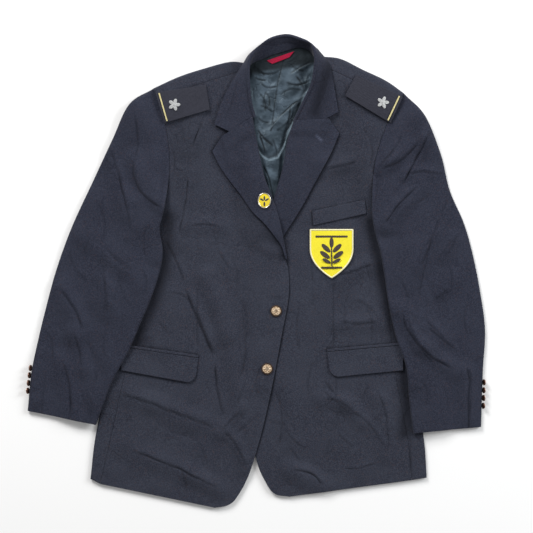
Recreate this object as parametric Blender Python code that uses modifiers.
"""A wool blazer laid flat on its back, unbuttoned, its right front over its left.

Right and left are the wearer's. Sizes are in millimetres, with X across, Y up towards the collar and
Z up from the floor, and become metres where a vertex is placed. Every cloth piece is one open sheet
that a Solidify modifier gives its wall, and each piece is laid on the ones that were placed before it.
"""

import math
from collections import namedtuple

import bmesh
import bpy
import numpy as np
from mathutils import Matrix, Vector
from mathutils.bvhtree import BVHTree

MM = 0.001
CENTRING = 2.2        # how far right the laid pieces move, so that the origin is under their middle

# Cloth
WALL = 2.0            # wool shell with its facing
LAPEL_WALL = 2.4      # two layers of wool over canvas
LINING_WALL = 1.0
FLAP_WALL = 1.8
SEAM_GAP = 0.3        # between pieces that are sewn together
CURVED_GAP = 1.6      # between pieces whose shared seam is curved
LAY_GAP = 0.35        # between a piece and what it lies on
UNDER_GAP = 2.4       # under the body, between the straight side seam and the back's coarser edge
MARK_WALL = 1.0       # label, braid and embroidery

# How a piece passes over what it lies on: how far round a point it clears everything, and how
# steeply it may fall away beyond that
Drape = namedtuple("Drape", "clear slope")
FRONT_DRAPE = Drape(16, 0.3)
SLEEVE_DRAPE = Drape(26, 0.2)
LAPEL_DRAPE = Drape(9, 0.5)
COLLAR_DRAPE = Drape(8, 0.6)
POCKET_DRAPE = Drape(10, 0.5)
BOARD_DRAPE = Drape(14, 0.5)
MARK_DRAPE = Drape(6, 0.5)
STAND_DRAPE = Drape(5, 2.0)
EDGE_DRAPE = Drape(8, 2.0)    # an edge that meets what it is sewn to
FLAT_SLOPE = 5.0              # a flat plate rests on the highest point under it

# Levels of the middle of each wall above the floor
BACK_LEVEL = 1.0
LINING_LEVEL = 2.8
FRONT_LEVEL = 5.0
SLEEVE_HOLLOW = 4.6   # from the middle of a sleeve's lower wall to that of its upper one

# Mesh density
BODY_ROWS = 26
ARMHOLE_ROWS = 8      # of those, the rows above the foot of the armhole
FRONT_COLUMNS = 13
BACK_COLUMNS = 9
BACK_ROWS = 13
BACK_NECK_COLUMN = 6  # the shoulder end of the back neckline
SLEEVE_ROWS = 20

Edge = namedtuple("Edge", "x y")
Side = namedtuple("Side", "seam_x seam_y fold_x fold_y")
Sleeve = namedtuple("Sleeve", "outer_x outer_y inner_x inner_y bow")
Lapel = namedtuple("Lapel", "roll_x roll_y edge_x edge_y roll_radius")
Span = namedtuple("Span", "left_x left_y right_x right_y")
Collar = namedtuple("Collar", "crease_x crease_y crease_z edge_x edge_y seam_x seam_y")
Fold = namedtuple("Fold", "from_x from_y to_x to_y width height")

# Armholes: a shallow bow from the shoulder to the underarm
Armhole = namedtuple("Armhole", "top_x top_y foot_x foot_y bow")
ARMHOLE = {"right": Armhole(-187, 331, -166, 121, 17), "left": Armhole(265, 322, 207, 115, -18)}
SHOULDER_SEAM_SHARE = 0.085  # where the shoulder seam meets the armhole

# Front edges from the neck down: neck, roll line, closing edge and the cutaway at the hem
FRONT_EDGE = {
    "right": (
        Edge(-17, 366), Edge(-16, 322), Edge(-6, 272), Edge(5, 205), Edge(22, 145), Edge(41, 85),
        Edge(54, 20), Edge(57, -40), Edge(44, -115), Edge(28, -200), Edge(9, -285), Edge(-13, -361),
        Edge(-34, -403), Edge(-66, -425),
    ),
    "left": (
        Edge(104, 379), Edge(94, 322), Edge(66, 268), Edge(51, 212), Edge(38, 160), Edge(25, 108),
        Edge(22, 45), Edge(12, -15), Edge(-2, -80), Edge(-13, -160), Edge(-16, -250), Edge(-2, -337),
        Edge(17, -380), Edge(44, -404),
    ),
}

# Side pieces from the underarm to the hem: the seam with the front, and the fold at the body's side
SIDE = {
    "right": (
        Side(-172, 110, -196, 104), Side(-187, 40, -213, 36), Side(-209, -60, -238, -62),
        Side(-238, -180, -266, -180), Side(-263, -295, -291, -292), Side(-283, -382, -301, -374),
    ),
    "left": (
        Side(214, 104, 236, 101), Side(223, 40, 246, 38), Side(236, -60, 262, -60),
        Side(249, -180, 279, -180), Side(270, -295, 300, -295), Side(279, -375, 306, -371),
    ),
}
SIDE_UNDER = 70       # how far the side piece reaches in under the body

# The back's top edge, from the armhole along the shoulder to the neck and the centre seam
BACK_TOP = {
    "right": (
        Edge(-187, 331), Edge(-141, 352), Edge(-95, 367), Edge(-49, 379), Edge(-17, 378),
        Edge(16, 386), Edge(50, 398),
    ),
    "left": (
        Edge(265, 322), Edge(232, 345), Edge(190, 365), Edge(149, 385), Edge(110, 390),
        Edge(82, 402), Edge(50, 398),
    ),
}
CENTRE_BACK = (Edge(50, 398), Edge(27, 265), Edge(15, 100), Edge(8, -100), Edge(4, -327))

SLEEVE = {
    "right": (
        Sleeve(-187, 331, -166, 121, 17), Sleeve(-231, 301, -172, 96, 12),
        Sleeve(-262, 237, -176, 74, 6), Sleeve(-296, 164, -170, 38, 2),
        Sleeve(-334, 82, -175, 2, 0), Sleeve(-362, 5, -190, -45, 0),
        Sleeve(-382, -68, -210, -93, 0), Sleeve(-395, -122, -232, -144, 0),
        Sleeve(-407, -180, -261, -198, 0), Sleeve(-414, -250, -290, -275, 0),
    ),
    "left": (
        Sleeve(265, 322, 207, 115, -18), Sleeve(303, 280, 208, 96, -12),
        Sleeve(331, 213, 212, 72, -6), Sleeve(347, 148, 222, 34, -2),
        Sleeve(372, 90, 229, -8, 0), Sleeve(388, 35, 237, -60, 0),
        Sleeve(402, -35, 249, -115, 0), Sleeve(411, -105, 268, -172, 0),
        Sleeve(407, -180, 273, -225, 0), Sleeve(404, -279, 281, -290, 0),
    ),
}

LAPEL = {
    "right": (
        Lapel(-5, 275, -81, 218, 5.0), Lapel(-1, 242, -67, 190, 4.6), Lapel(5, 208, -49, 164, 4.0),
        Lapel(13, 172, -28, 137, 3.4), Lapel(24, 142, -8, 108, 2.8), Lapel(34, 114, 12, 88, 2.3),
        Lapel(41, 86, 28, 70, 2.0), Lapel(48, 52, 40, 52, 1.9),
    ),
    "left": (
        Lapel(65, 267, 148, 250, 5.0), Lapel(54, 236, 135, 219, 4.6), Lapel(49, 206, 119, 188, 4.0),
        Lapel(43, 177, 102, 157, 3.2), Lapel(35, 150, 86, 127, 2.6), Lapel(27, 123, 70, 100, 2.2),
        Lapel(23, 98, 55, 77, 2.0), Lapel(22, 72, 41, 53, 2.0),
    ),
}
# How far the gorge seam's corner stands off the straight line from roll to tip, and where along it
Corner = namedtuple("Corner", "share lapel_rise leaf_drop")
GORGE = {"right": Corner(0.65, 10, 20), "left": Corner(0.69, 19, 7)}

LINING = (
    Span(-9, 374, 100, 394), Span(-25, 345, 116, 364), Span(-32, 310, 108, 318),
    Span(-26, 260, 88, 270), Span(-14, 205, 72, 212), Span(2, 150, 58, 152), Span(14, 98, 46, 98),
)
NECKLINE_BOW = 14
NECK_CENTRE = (45, 335)
STAND_INSET, STAND_DROP = 3.9, 0.5    # from the collar's crease in and down to the stand
COLLAR_ARCH = 0.05    # how far the fall arches over the line from crease to edge, by its width

# The collar round the neck, from the right gorge to the left one
COLLAR = (
    Collar(-5, 278, 16, -77, 266, -11, 279), Collar(-12, 304, 19, -66, 300, -18, 304),
    Collar(-15, 330, 23, -51, 331, -20, 329), Collar(-16, 356, 27, -36, 357, -20, 352),
    Collar(-14, 377, 30, -24, 376, -17, 368), Collar(-7, 392, 30, -14, 392, -8, 377),
    Collar(7, 407, 27, 2, 396, 7, 383), Collar(28, 419, 23, 26, 402, 26, 391),
    Collar(54, 424, 21, 54, 409, 52, 399), Collar(79, 417, 23, 81, 408, 74, 405),
    Collar(97, 408, 27, 101, 402, 92, 401), Collar(103, 391, 30, 115, 396, 103, 391),
    Collar(104, 368, 29, 130, 373, 110, 368), Collar(99, 338, 25, 136, 343, 105, 338),
    Collar(84, 306, 20, 141, 316, 90, 308), Collar(67, 271, 16, 146, 288, 73, 272),
)

FRONT_FOLDS = {
    "right": (
        Fold(-95, 352, -182, 305, 62, 5.0), Fold(-163, 175, -167, 118, 42, 3.6),
        Fold(-112, 290, -126, 215, 30, 3.2), Fold(-128, 176, -144, 60, 34, 4.2),
        Fold(-120, 86, -58, 80, 26, 2.4), Fold(-104, -10, -66, -118, 32, 4.4),
        Fold(-58, -150, -40, -240, 30, 3.4), Fold(-250, -214, -185, -236, 26, 5.0),
        Fold(-185, -238, -72, -286, 28, 5.4), Fold(-62, -288, -30, -250, 24, 3.6),
        Fold(-236, -318, -125, -362, 30, 4.6), Fold(-122, -364, -66, -394, 26, 3.6),
        Fold(-34, -300, -20, -350, 26, 3.6), Fold(-150, -40, -176, -128, 30, 2.6),
        Fold(-214, -60, -196, -110, 30, 2.8),
    ),
    "left": (
        Fold(175, 345, 255, 310, 62, 5.0), Fold(205, 170, 208, 115, 42, 3.6),
        Fold(118, 186, 190, 204, 26, 3.0), Fold(146, -8, 216, 18, 28, 3.2),
        Fold(146, -92, 222, -90, 26, 3.0), Fold(118, -228, 160, -236, 26, 3.4),
        Fold(160, -236, 188, -268, 26, 3.4), Fold(58, -356, 120, -386, 28, 4.0),
        Fold(44, -160, 66, -300, 40, 3.0), Fold(220, -230, 232, -330, 26, 2.8),
        Fold(200, 260, 150, 200, 30, 1.8),
    ),
}
SLEEVE_FOLDS = {
    "right": (
        Fold(-220, 300, -262, 225, 40, 5.0), Fold(-224, 205, -170, 120, 26, 4.6),
        Fold(-252, 190, -236, 106, 26, 3.6), Fold(-352, -30, -318, -108, 32, 5.0),
        Fold(-330, -112, -316, -170, 28, 4.2), Fold(-352, -162, -336, -262, 32, 4.6),
        Fold(-276, -14, -268, -72, 28, 3.6), Fold(-310, 68, -214, -12, 34, 4.0),
        Fold(-300, 130, -330, 40, 34, 2.8), Fold(-390, -150, -398, -230, 24, 2.2),
    ),
    "left": (
        Fold(300, 278, 320, 222, 38, 4.6), Fold(224, 190, 296, 238, 24, 4.6),
        Fold(262, 152, 308, 250, 24, 4.0), Fold(232, 84, 292, 156, 26, 5.0),
        Fold(272, 176, 310, 180, 22, 2.8), Fold(292, 12, 316, 66, 28, 4.2),
        Fold(342, 30, 356, 58, 26, 3.0), Fold(262, -70, 300, -132, 28, 4.8),
        Fold(300, -132, 356, -178, 28, 4.4), Fold(302, -86, 340, -120, 26, 3.2),
        Fold(378, -180, 380, -262, 24, 3.2), Fold(330, -30, 350, -12, 28, 3.0),
    ),
}

# Pockets, as quadrilaterals: top left, top right, bottom right, bottom left
Quad = namedtuple("Quad", "a b c d")
FLAP = {
    "right": Quad((-245, -135), (-106, -155), (-112, -201), (-245, -177)),
    "left": Quad((126, -144), (263, -132), (263, -177), (132, -190)),
}
JET_HEIGHT = 4.5
WELT = Quad((99, 110), (194, 130), (196, 105), (101, 84))
NECK_LABEL = Quad((17, 381), (67, 398), (58, 387), (27, 375))

# Shoulder boards, outer end first
BOARD = {
    "right": Quad((-183, 322), (-92, 337), (-85, 292), (-167, 268)),
    "left": Quad((262, 315), (178, 355), (158, 317), (240, 268)),
}
BOARD_WALL = 2.2
STRIPE_FROM_END = 5.0
STRIPE_WIDTH = 2.6
ROSETTE_SHARE = 0.30  # along the board from its outer end
ROSETTE_RADIUS = 11.0
ROSETTE_PETALS = 5

BADGE_CENTRE = (134, 33)
BADGE_WIDTH, BADGE_HEIGHT = 76.0, 86.0
BADGE_WALL = 1.8
PIN_CENTRE = (13, 128)
PIN_WIDTH, PIN_HEIGHT = 24.0, 28.0
PIN_WALL = 1.6

FRONT_BUTTON_RADIUS, FRONT_BUTTON_HEIGHT = 10.5, 4.0
FRONT_BUTTONS = ((34, -70), (18, -174))
CUFF_BUTTON_RADIUS, CUFF_BUTTON_HEIGHT = 5.6, 2.4
CUFF_BUTTON_TILT = math.radians(20)
CUFF_BUTTON_STAND = 1.75  # the middle of its back stands off the sleeve's edge
CUFF_BUTTON_LEVEL = 5.9
CUFF_BUTTONS = {"right": (-173, -186, -200, -214), "left": (-199, -213, -227, -241)}

for thing in list(bpy.data.objects):
    bpy.data.objects.remove(thing)
blazer = bpy.data.collections.new("blazer")
bpy.context.scene.collection.children.link(blazer)


def material(name, colour, roughness, metallic=0.0):
    made = bpy.data.materials.new(name)
    made.use_nodes = True
    shader = made.node_tree.nodes["Principled BSDF"]
    shader.inputs["Base Color"].default_value = (*colour, 1.0)
    shader.inputs["Roughness"].default_value = roughness
    shader.inputs["Metallic"].default_value = metallic
    return made


WOOL = material("navy wool", (0.034, 0.037, 0.055), 0.9)
SATIN = material("grey lining", (0.082, 0.105, 0.130), 0.45)
CRIMSON = material("crimson label", (0.35, 0.02, 0.05), 0.6)
BOARD_CLOTH = material("board cloth", (0.050, 0.051, 0.060), 0.8)
GOLD_BRAID = material("gold braid", (0.62, 0.55, 0.27), 0.6)
SILVER_THREAD = material("silver thread", (0.62, 0.63, 0.62), 0.5)
YELLOW_TWILL = material("yellow twill", (0.80, 0.70, 0.03), 0.75)
YELLOW_ENAMEL = material("yellow enamel", (0.78, 0.68, 0.05), 0.25)
BRASS = material("brass", (0.62, 0.38, 0.17), 0.35, 1.0)
COPPER = material("dark copper", (0.12, 0.06, 0.04), 0.4, 0.6)


def smooth(table, share):
    """The row at a share of the way down a table, on a smooth curve through its rows."""
    rows = np.array(table, float)
    last = len(rows) - 1
    place = min(max(share, 0.0), 1.0) * last
    i = min(int(place), last - 1)
    t = place - i
    here, there = rows[i], rows[i + 1]
    before = rows[i - 1] if i > 0 else 2 * here - there
    after = rows[i + 2] if i + 2 <= last else 2 * there - here
    line = 2 * here + (there - before) * t
    square = (2 * before - 5 * here + 4 * there - after) * t ** 2
    cube = (3 * here - before - 3 * there + after) * t ** 3
    return type(table[0])(*(0.5 * (line + square + cube)))


def ease(share):
    """0 to 1 with level ends."""
    share = min(max(share, 0.0), 1.0)
    return share * share * (3 - 2 * share)


def between(start, end, share):
    return start + (end - start) * share


def towards(start, end, share, bow=0.0):
    """A point of the line from start to end, which bows to its left by so much."""
    start, end = Vector(start), Vector(end)
    along = (end - start).normalized()
    return start.lerp(end, share) + Vector((-along.y, along.x)) * bow * 4 * share * (1 - share)


def fold_height(folds, x, y):
    """How far the folds of a panel lift or sink it at a point."""
    height = 0.0
    for fold in folds:
        start = Vector((fold.from_x, fold.from_y))
        run = Vector((fold.to_x, fold.to_y)) - start
        offset = Vector((x, y)) - start
        along = offset.dot(run) / run.length_squared
        across = (offset - run * min(max(along, 0.0), 1.0)).length
        height += fold.height * ease(1 - across / fold.width)
    return height


class Pile:
    """How high the pieces already laid reach over the floor, on a square grid."""

    STEP = 3.0
    HALF = 480.0

    def __init__(self, *pieces):
        size = int(2 * self.HALF / self.STEP) + 1
        self.height = np.zeros((size, size))
        for piece in pieces:
            self.add(piece)

    def add(self, piece):
        tree = BVHTree.FromObject(piece, bpy.context.evaluated_depsgraph_get())
        evaluated = piece.evaluated_get(bpy.context.evaluated_depsgraph_get())
        corners = [piece.matrix_world @ Vector(corner) for corner in evaluated.bound_box]
        low = [int((min(c[i] for c in corners) / MM + self.HALF) / self.STEP) for i in (0, 1)]
        high = [int((max(c[i] for c in corners) / MM + self.HALF) / self.STEP) + 1 for i in (0, 1)]
        for i in range(low[0], high[0] + 1):
            for j in range(low[1], high[1] + 1):
                above = Vector((i * self.STEP - self.HALF, j * self.STEP - self.HALF, self.HALF)) * MM
                hit = tree.ray_cast(above, Vector((0, 0, -1)))[0]
                if hit is not None:
                    self.height[i, j] = max(self.height[i, j], hit.z / MM)

    def under(self, x, y, clear, slope):
        """The height that cloth needs at a point to pass over all within clear of it, and then fall
        away no steeper than slope."""
        reach = clear + self.height.max() / slope
        cells = int(reach / self.STEP) + 1
        i, j = round((x + self.HALF) / self.STEP), round((y + self.HALF) / self.STEP)
        last = len(self.height) - 1
        rows = np.arange(max(i - cells, 0), min(i + cells, last) + 1)
        columns = np.arange(max(j - cells, 0), min(j + cells, last) + 1)
        away = np.hypot(
            rows[:, None] * self.STEP - self.HALF - x, columns[None, :] * self.STEP - self.HALF - y
        )
        heights = self.height[np.ix_(rows, columns)] - slope * np.maximum(away - clear, 0.0)
        return max(float(heights.max()), 0.0)


def sheet(name, columns, rows, place, wall, made_of, keep=None):
    """A cloth piece: a grid whose points go where place(column, row) says, given its wall."""
    mesh = bpy.data.meshes.new(name)
    shape = bmesh.new()
    bmesh.ops.create_grid(shape, x_segments=columns, y_segments=rows, size=1)
    where = {}
    for vertex in shape.verts:
        column = round((vertex.co.x + 1) / 2 * columns)
        row = round((1 - vertex.co.y) / 2 * rows)
        where[vertex] = (column, row)
    if keep is not None:
        dropped = [
            face for face in shape.faces
            if not keep(min(where[v][0] for v in face.verts), min(where[v][1] for v in face.verts))
        ]
        bmesh.ops.delete(shape, geom=dropped, context="FACES")
    for vertex in shape.verts:
        vertex.co = Vector(place(*where[vertex])) * MM
    bmesh.ops.recalc_face_normals(shape, faces=shape.faces)
    shape.to_mesh(mesh)
    shape.free()
    mesh.shade_smooth()
    mesh.materials.append(made_of)
    piece = bpy.data.objects.new(name, mesh)
    blazer.objects.link(piece)
    solid = piece.modifiers.new("wall", "SOLIDIFY")
    solid.thickness = wall * MM
    solid.offset = 0
    solid.use_even_offset = True
    solid.thickness_clamp = 0
    bpy.context.view_layer.update()
    return piece


def armhole(side, share, gap):
    """A point of the armhole seam, moved towards the body (gap above 0) or the sleeve."""
    hole = ARMHOLE[side]
    point = towards((hole.top_x, hole.top_y), (hole.foot_x, hole.foot_y), share, hole.bow)
    inward = 1 if side == "right" else -1
    return point + Vector((inward * gap, 0))


def body_seam(side, row):
    """The outer edge of a front at a row: the armhole, and then the seam with the side piece."""
    if row <= ARMHOLE_ROWS:
        return armhole(side, between(SHOULDER_SEAM_SHARE, 1, row / ARMHOLE_ROWS), CURVED_GAP / 2)
    side_row = smooth(SIDE[side], (row - ARMHOLE_ROWS) / (BODY_ROWS - ARMHOLE_ROWS))
    return Vector((side_row.seam_x, side_row.seam_y))


def under_seam(side, row, gap=0.0):
    """The seam under the body between the side piece and the back, from the armhole's foot down."""
    share = (row - ARMHOLE_ROWS) / (BODY_ROWS - ARMHOLE_ROWS)
    here, foot = smooth(SIDE[side], share), ARMHOLE[side]
    inward = 1 if side == "right" else -1
    spread = ease(share / 0.35)
    x = between(foot.foot_x + 2 * inward, here.fold_x + SIDE_UNDER * inward, spread)
    y = here.fold_y + (foot.foot_y - SIDE[side][0].fold_y) * (1 - spread)
    return Vector((x + gap * inward, y))


def front_edge(side, row):
    edge = smooth(FRONT_EDGE[side], row / BODY_ROWS)
    return Vector((edge.x, edge.y))


def roll_inset(side, y):
    """How far a front stops short of its roll line, where the lapel turns round it."""
    rows = LAPEL[side]
    if y > rows[0].roll_y + 4 or y < rows[-1].roll_y:
        return 0.0
    share = (rows[0].roll_y - y) / (rows[0].roll_y - rows[-1].roll_y)
    return smooth(rows, share).roll_radius + LAPEL_WALL / 2 + CURVED_GAP


def front_height(side, x, y):
    return FRONT_LEVEL + fold_height(FRONT_FOLDS[side], x, y)


def front(side, pile=None):
    """A front panel, from its armhole and side seam across to its edge, and shoulder to hem."""

    def place(column, row):
        seam, edge = body_seam(side, row), front_edge(side, row)
        inward = (seam - edge).normalized()
        edge = edge + inward * roll_inset(side, edge.y)
        point = seam.lerp(edge, column / FRONT_COLUMNS)
        height = front_height(side, *point)
        if pile is not None:
            height = max(height, pile.under(*point, *FRONT_DRAPE) + LAY_GAP + WALL / 2)
        return (*point, height)

    return sheet(f"front_{side}", FRONT_COLUMNS, BODY_ROWS, place, WALL, WOOL)


def side_piece(side):
    """The piece under the arm, which turns round the body's side fold from front to back."""
    over, bend, under = 2, 4, 3

    def place(column, row):
        body_row = row + ARMHOLE_ROWS
        here = smooth(SIDE[side], row / (BODY_ROWS - ARMHOLE_ROWS))
        seam, fold = Vector((here.seam_x, here.seam_y)), Vector((here.fold_x, here.fold_y))
        inward = (front_edge(side, body_row) - fold)
        inward.y = 0
        inward.normalize()
        top = front_height(side, *seam)
        radius = (top - BACK_LEVEL) / 2
        centre = fold + inward * (radius + WALL / 2)
        if column <= over:
            point = (seam - inward * SEAM_GAP).lerp(centre, column / over)
            return (*point, top)
        if column <= over + bend:
            angle = math.pi / 2 - math.pi * (column - over) / bend
            point = centre - inward * radius * math.cos(angle)
            return (*point, BACK_LEVEL + radius + radius * math.sin(angle))
        share = (column - over - bend) / under
        point = centre.lerp(under_seam(side, body_row), share)
        return (*point, BACK_LEVEL)

    return sheet(f"side_{side}", over + bend + under, BODY_ROWS - ARMHOLE_ROWS, place, WALL, WOOL)


def back(side):
    """Half the back, flat on the floor, which turns over the shoulder to the shoulder seam."""
    bend, over = 4, 1
    neck_share = BACK_NECK_COLUMN / BACK_COLUMNS

    def shoulder(column):
        """The fold along the shoulder, the way in from it, and the radius it turns at."""
        edge = smooth(BACK_TOP[side], column / BACK_COLUMNS)
        fold = Vector((edge.x, edge.y))
        seam = body_seam(side, 0).lerp(front_edge(side, 0), column / BACK_NECK_COLUMN)
        inward = (seam - fold).normalized()
        radius = (front_height(side, *seam) - BACK_LEVEL) / 2
        return fold, seam, inward, radius

    def flat(column, row):
        share = column / BACK_COLUMNS
        if row < ARMHOLE_ROWS:
            outer = armhole(side, row / ARMHOLE_ROWS, CURVED_GAP)
        else:
            outer = under_seam(side, row, UNDER_GAP)
        middle = smooth(CENTRE_BACK, row / BODY_ROWS)
        inner = Vector((middle.x - math.copysign(SEAM_GAP / 2, middle.x - outer.x), middle.y))
        point = outer.lerp(inner, share)
        top = smooth(BACK_TOP[side], share)
        straight = Vector(BACK_TOP[side][0]).lerp(Vector(BACK_TOP[side][-1]), share)
        point += (Vector((top.x, top.y)) - straight) * max(0.0, 1 - row / ARMHOLE_ROWS)
        if row == 0 and column <= BACK_NECK_COLUMN:
            fold, _, inward, radius = shoulder(column)
            point = fold + inward * (radius + WALL / 2)
        return point

    def place(column, row):
        row -= bend + over
        if row >= 0:
            return (*flat(column, row * BODY_ROWS // BACK_ROWS), BACK_LEVEL)
        fold, seam, inward, radius = shoulder(min(column, BACK_NECK_COLUMN))
        centre = fold + inward * (radius + WALL / 2)
        if row >= -bend:
            angle = -math.pi / 2 - math.pi * row / bend
            point = centre - inward * radius * math.cos(angle)
            return (*point, BACK_LEVEL + radius + radius * math.sin(angle))
        point = seam - inward * CURVED_GAP
        return (*point, front_height(side, *seam))

    def keep(column, row):
        return row >= bend + over or column < BACK_NECK_COLUMN

    rows = BACK_ROWS + bend + over
    return sheet(f"back_{side}", BACK_COLUMNS, rows, place, WALL, WOOL, keep)


def lining():
    """The back lining, which shows in the neck between the lapels."""
    columns, rows = 9, 11

    def place(column, row):
        here = smooth(LINING, row / rows)
        bow = NECKLINE_BOW * (1 - row / rows) ** 3
        point = towards(
            (here.left_x, here.left_y), (here.right_x, here.right_y), column / columns, bow
        )
        return (*point, LINING_LEVEL)

    return sheet("back_lining", columns, rows, place, LINING_WALL, SATIN)


def lapel(side, on_front, below):
    """A lapel: it leaves the front's roll line from below, turns back and lies on the front."""
    bend, over, rows = 4, 6, 15
    corner = GORGE[side]

    def place(column, row):
        share = row / rows
        here = smooth(LAPEL[side], share)
        roll, edge = Vector((here.roll_x, here.roll_y)), Vector((here.edge_x, here.edge_y))
        outward = (edge - roll).normalized()
        radius = here.roll_radius
        centre = roll + outward * (radius + LAPEL_WALL / 2)
        level = on_front.under(*centre, *EDGE_DRAPE) - WALL / 2
        low = max(level, below.under(*centre, *EDGE_DRAPE) + LAY_GAP + LAPEL_WALL / 2)
        if column <= bend:
            angle = -math.pi / 2 + math.pi * column / bend
            point = centre - outward * radius * math.cos(angle)
            return (*point, low + radius + radius * math.sin(angle))
        across = (column - bend) / over
        point = centre.lerp(edge, across)
        rest = on_front.under(*point, *LAPEL_DRAPE) + LAY_GAP + LAPEL_WALL / 2
        high = between(low + 2 * radius, rest, ease(across))
        rise = corner.lapel_rise * max(0.0, 1 - 3.5 * share)
        peak = min(across / corner.share, (1 - across) / (1 - corner.share))
        up = Vector((-outward.y, outward.x)) if side == "left" else Vector((outward.y, -outward.x))
        point += up * rise * peak
        return (*point, max(high, rest))

    return sheet(f"lapel_{side}", bend + over, rows, place, LAPEL_WALL, WOOL)


def quad_point(quad, across, down):
    top = Vector(quad.a).lerp(Vector(quad.b), across)
    bottom = Vector(quad.d).lerp(Vector(quad.c), across)
    return top.lerp(bottom, down)


def patch(name, quad, columns, rows, wall, made_of, pile, drape, round_corner=None):
    """A flat piece laid on what is under it, with one corner drawn in."""

    def place(column, row):
        point = quad_point(quad, column / columns, row / rows)
        if round_corner == (column, row):
            point = point.lerp(quad_point(quad, 0.5, 0.5), 0.06)
        return (*point, pile.under(*point, *drape) + LAY_GAP + wall / 2)

    return sheet(name, columns, rows, place, wall, made_of)


def sleeve_point(side, across, share):
    """A point of the sleeve's plan: across from its outer edge, at a share of its length."""
    here = smooth(SLEEVE[side], share)
    return towards((here.outer_x, here.outer_y), (here.inner_x, here.inner_y), across, here.bow)


def sleeve(side, pile):
    """A two-piece sleeve, pressed flat: the top sleeve turns under at both edges to the seams."""
    tuck, bend, over, under = 1, 4, 9, 5
    outer_seam, inner_seam = 0.13, 0.10   # where the seams lie underneath, as shares of the width
    radius = SLEEVE_HOLLOW / 2
    inset = radius + WALL / 2
    outward = -1 if side == "right" else 1

    def width_at(share):
        return (sleeve_point(side, 1, share) - sleeve_point(side, 0, share)).length

    def point_at(distance, share):
        """A point of the plan, a distance in from the outer edge and clear of the armhole."""
        point = sleeve_point(side, distance / width_at(share), share)
        if share == 0:
            point.x += outward * CURVED_GAP / 2
        return point

    def lower(distance, share):
        """The lower wall: on the floor at the outer edge, and on the body at the inner one."""
        point = point_at(distance, share)
        climb = ease(max(share / 0.10, (distance / width_at(share) - 0.55) / 0.45))
        return (*point, WALL / 2 + climb * (pile.under(*point, *SLEEVE_DRAPE) + LAY_GAP))

    def upper(distance, share):
        x, y, low = lower(distance, share)
        return x, y, low + SLEEVE_HOLLOW + fold_height(SLEEVE_FOLDS[side], x, y)

    def turn(angle, share, at_outer):
        """A point of one of the rounded edges, from -90 degrees at the lower wall."""
        reach = inset - radius * math.cos(angle)
        width = width_at(share)
        point = point_at(reach if at_outer else width - reach, share)
        low = lower(inset if at_outer else width - inset, share)[2]
        return (*point, low + radius + radius * math.sin(angle))

    def top_place(column, row):
        share = row / SLEEVE_ROWS
        width = width_at(share)
        if column < tuck:
            return lower(width * outer_seam - CURVED_GAP / 2, share)
        column -= tuck
        if column <= bend:
            return turn(-math.pi / 2 + math.pi * column / bend, share, True)
        column -= bend
        if column < over:
            return upper(between(inset, width - inset, column / over), share)
        column -= over
        if column <= bend:
            return turn(math.pi / 2 - math.pi * column / bend, share, False)
        return lower(width * (1 - inner_seam) + CURVED_GAP / 2, share)

    def under_place(column, row):
        share = row / SLEEVE_ROWS
        start = width_at(share) * outer_seam + SEAM_GAP
        end = width_at(share) * (1 - inner_seam) - CURVED_GAP / 2
        return lower(between(start, end, column / under), share)

    columns = tuck + bend + over + bend + tuck
    sheet(f"topsleeve_{side}", columns, SLEEVE_ROWS, top_place, WALL, WOOL)
    sheet(f"undersleeve_{side}", under, SLEEVE_ROWS, under_place, WALL, WOOL)


def collar(pile):
    """The collar's fall, from its crease down to its edge, and the stand inside it."""
    over, rows, stand_columns = 6, 28, 3
    end_rows = 5          # over which each end of the fall is drawn down to its lapel

    def section(row):
        here = smooth(COLLAR, row / rows)
        crease = Vector((here.crease_x, here.crease_y, here.crease_z))
        edge, seam = Vector((here.edge_x, here.edge_y)), Vector((here.seam_x, here.seam_y))
        rest = pile.under(*edge, *COLLAR_DRAPE) + LAY_GAP + LAPEL_WALL / 2
        foot = pile.under(*seam, *STAND_DRAPE) + LAY_GAP + WALL / 2
        return crease, Vector((*edge, rest)), Vector((*seam, foot))

    def place(column, row):
        crease, edge, seam = section(row)
        share = column / over
        point = crease.lerp(edge, share)
        across = (edge - crease).to_2d().length
        point.z += COLLAR_ARCH * across * math.sin(math.pi * share)
        corner = GORGE["right" if row < rows / 2 else "left"]
        drop = corner.leaf_drop * max(0.0, 1 - min(row, rows - row) / end_rows)
        peak = min(share / corner.share, (1 - share) / (1 - corner.share))
        along = (edge - crease).to_2d().normalized()
        down = Vector((along.y, -along.x)) if row > rows / 2 else Vector((-along.y, along.x))
        point.xy += down * drop * peak
        rest = pile.under(point.x, point.y, *COLLAR_DRAPE) + LAY_GAP + LAPEL_WALL / 2
        point.z = max(point.z, rest)
        return point

    def stand_place(column, row):
        crease, edge, seam = section(row)
        neckward = (Vector(NECK_CENTRE) - crease.to_2d()).normalized()
        top = crease + Vector((*(neckward * STAND_INSET), -STAND_DROP))
        return seam.lerp(top, column / stand_columns)

    sheet("collar", over, rows, place, LAPEL_WALL, WOOL)
    sheet("collar_stand", stand_columns, rows, stand_place, WALL, WOOL)


def plate(name, outline, centre, height, wall, made_of):
    """A small flat piece: a closed outline as a filled curve, laid at a height."""
    curve = bpy.data.curves.new(name, "CURVE")
    curve.dimensions = "2D"
    curve.fill_mode = "BOTH"
    curve.extrude = wall * MM / 2
    spline = curve.splines.new("POLY")
    spline.points.add(len(outline) - 1)
    for point, (x, y) in zip(spline.points, outline):
        point.co = (x * MM, y * MM, 0, 1)
    spline.use_cyclic_u = True
    curve.materials.append(made_of)
    piece = bpy.data.objects.new(name, curve)
    blazer.objects.link(piece)
    piece.location = (centre[0] * MM, centre[1] * MM, (height + wall / 2) * MM)
    bpy.context.view_layer.update()


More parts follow.
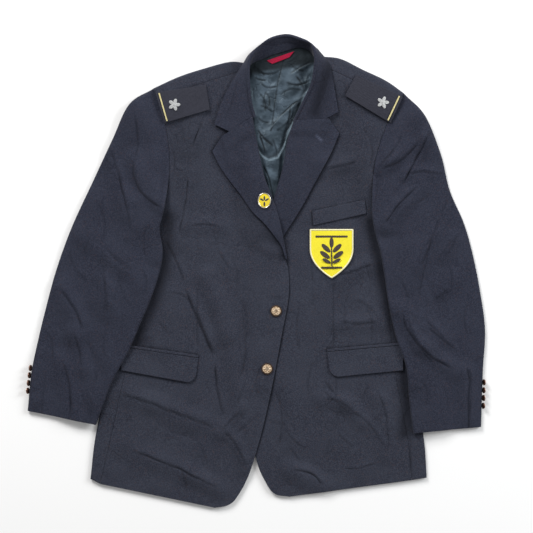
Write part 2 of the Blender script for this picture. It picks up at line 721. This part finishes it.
def disc(name, radius, height, steps, made_of, place):
    """A turned button: a rounded rim round a shallow dish, placed by a matrix in millimetres."""
    profile = (
        (0.0, height * 0.62), (radius * 0.55, height * 0.62), (radius * 0.72, height),
        (radius * 0.93, height * 0.9), (radius, height * 0.5), (radius * 0.9, 0.0), (0.0, 0.0),
    )
    mesh = bpy.data.meshes.new(name)
    shape = bmesh.new()
    ring = [shape.verts.new((x * MM, 0, z * MM)) for x, z in profile]
    edges = [shape.edges.new(pair) for pair in zip(ring, ring[1:])]
    bmesh.ops.spin(
        shape, geom=ring + edges, cent=(0, 0, 0), axis=(0, 0, 1), angle=2 * math.pi, steps=steps,
        use_merge=True,
    )
    bmesh.ops.remove_doubles(shape, verts=shape.verts, dist=1e-5)
    bmesh.ops.recalc_face_normals(shape, faces=shape.faces)
    shape.to_mesh(mesh)
    shape.free()
    mesh.shade_smooth()
    mesh.set_sharp_from_angle(angle=math.radians(40))
    mesh.materials.append(made_of)
    piece = bpy.data.objects.new(name, mesh)
    blazer.objects.link(piece)
    piece.matrix_world = Matrix.Translation(place.translation * MM) @ place.to_3x3().to_4x4()
    bpy.context.view_layer.update()


def shield_outline(width, height):
    """A plain heater shield: a level top, straight shoulders and sides that curve to a point."""
    half, low = width / 2, -height / 2
    waist = height * 0.12
    right = [(half, height / 2), (half, waist)]
    for step in range(1, 7):
        down = step / 7
        right.append((half * (1 - down ** 2.2), between(waist, low, down)))
    left = [(-x, y) for x, y in reversed(right)]
    return left + [(0, height / 2)] + right + [(0, low)]


def oval_outline(width, height, steps=20):
    angles = [2 * math.pi * i / steps for i in range(steps)]
    return [(width / 2 * math.cos(a), height / 2 * math.sin(a)) for a in angles]


def rosette_outline(radius, petals, steps=30):
    angles = [2 * math.pi * i / steps for i in range(steps)]
    return [
        (radius * (0.78 + 0.22 * math.cos(petals * a)) * math.cos(a),
         radius * (0.78 + 0.22 * math.cos(petals * a)) * math.sin(a))
        for a in angles
    ]


# Laying the blazer, from the floor up
backs = [back("right"), back("left")]
back_lining = lining()
on_lining = Pile(back_lining)
label = patch("neck_label", NECK_LABEL, 5, 1, MARK_WALL, CRIMSON, on_lining, MARK_DRAPE)

front_left = front("left")
patch("breast_pocket_welt", WELT, 6, 2, FLAP_WALL, WOOL, Pile(front_left), POCKET_DRAPE)
lapel_left = lapel("left", Pile(front_left), on_lining)
front_right = front("right", Pile(front_left, lapel_left))
lapel_right = lapel("right", Pile(front_right), Pile(back_lining, lapel_left))
fronts = {"right": front_right, "left": front_left}

sides = {"right": side_piece("right"), "left": side_piece("left")}
for side, quad in FLAP.items():
    on_front = Pile(fronts[side], sides[side])
    inner = (9, 3) if side == "right" else (0, 3)
    patch(f"pocket_flap_{side}", quad, 9, 3, FLAP_WALL, WOOL, on_front, POCKET_DRAPE, inner)
    up = (Vector(quad.a) - Vector(quad.d)).normalized()
    top_left, top_right = Vector(quad.a) + up * SEAM_GAP, Vector(quad.b) + up * SEAM_GAP
    jet = Quad(top_left + up * JET_HEIGHT, top_right + up * JET_HEIGHT, top_right, top_left)
    patch(f"pocket_jet_{side}", jet, 9, 1, FLAP_WALL, WOOL, on_front, POCKET_DRAPE)

for side, quad in BOARD.items():
    on_shoulder = Pile(fronts[side], *backs)
    board = patch(
        f"shoulder_board_{side}", quad, 6, 4, BOARD_WALL, BOARD_CLOTH, on_shoulder, BOARD_DRAPE
    )
    on_board = Pile(board)
    length = (Vector(quad.b) - Vector(quad.a)).length
    near, far = STRIPE_FROM_END / length, (STRIPE_FROM_END + STRIPE_WIDTH) / length
    ends = ((near, 0.03), (far, 0.03), (far, 0.97), (near, 0.97))
    stripe = Quad(*(quad_point(quad, *end) for end in ends))
    patch(f"board_stripe_{side}", stripe, 1, 4, MARK_WALL, GOLD_BRAID, on_board, MARK_DRAPE)
    centre = quad_point(quad, ROSETTE_SHARE, 0.5)
    height = on_board.under(*centre, ROSETTE_RADIUS, FLAT_SLOPE) + LAY_GAP
    outline = rosette_outline(ROSETTE_RADIUS, ROSETTE_PETALS)
    plate(f"board_rosette_{side}", outline, centre, height, MARK_WALL, SILVER_THREAD)

for side in ("right", "left"):
    flap, jet = bpy.data.objects[f"pocket_flap_{side}"], bpy.data.objects[f"pocket_jet_{side}"]
    sleeve(side, Pile(fronts[side], sides[side], flap, jet))

collar(Pile(*backs, back_lining, label, front_left, front_right, lapel_left, lapel_right))

badge_outline = shield_outline(BADGE_WIDTH, BADGE_HEIGHT)
badge_rest = Pile(front_left).under(*BADGE_CENTRE, BADGE_HEIGHT / 2, FLAT_SLOPE) + LAY_GAP
plate("chest_badge", badge_outline, BADGE_CENTRE, badge_rest, BADGE_WALL, YELLOW_TWILL)
pin_rest = Pile(lapel_right).under(*PIN_CENTRE, PIN_HEIGHT / 2, FLAT_SLOPE) + LAY_GAP
pin_outline = oval_outline(PIN_WIDTH, PIN_HEIGHT)
plate("lapel_pin", pin_outline, PIN_CENTRE, pin_rest, PIN_WALL, YELLOW_ENAMEL)

for number, centre in enumerate(FRONT_BUTTONS, 1):
    rest = Pile(front_right).under(*centre, FRONT_BUTTON_RADIUS, FLAT_SLOPE) + LAY_GAP
    place = Matrix.Translation((*centre, rest))
    disc(f"front_button_{number}", FRONT_BUTTON_RADIUS, FRONT_BUTTON_HEIGHT, 18, BRASS, place)

for side, levels in CUFF_BUTTONS.items():
    outward = -1 if side == "right" else 1
    edge = [sleeve_point(side, 0, row / SLEEVE_ROWS) for row in range(SLEEVE_ROWS + 1)]
    on_edge = Matrix.Rotation(outward * (math.pi / 2 + CUFF_BUTTON_TILT), 4, "Y")
    for number, level in enumerate(levels, 1):
        edge_x = float(np.interp(-level, [-point.y for point in edge], [point.x for point in edge]))
        where = (edge_x + outward * CUFF_BUTTON_STAND, level, CUFF_BUTTON_LEVEL)
        place = Matrix.Translation(where) @ on_edge
        name = f"cuff_button_{side}_{number}"
        disc(name, CUFF_BUTTON_RADIUS, CUFF_BUTTON_HEIGHT, 8, COPPER, place)

# Bring the middle of the blazer over the origin
for piece in blazer.objects:
    piece.location.x += CENTRING * MM
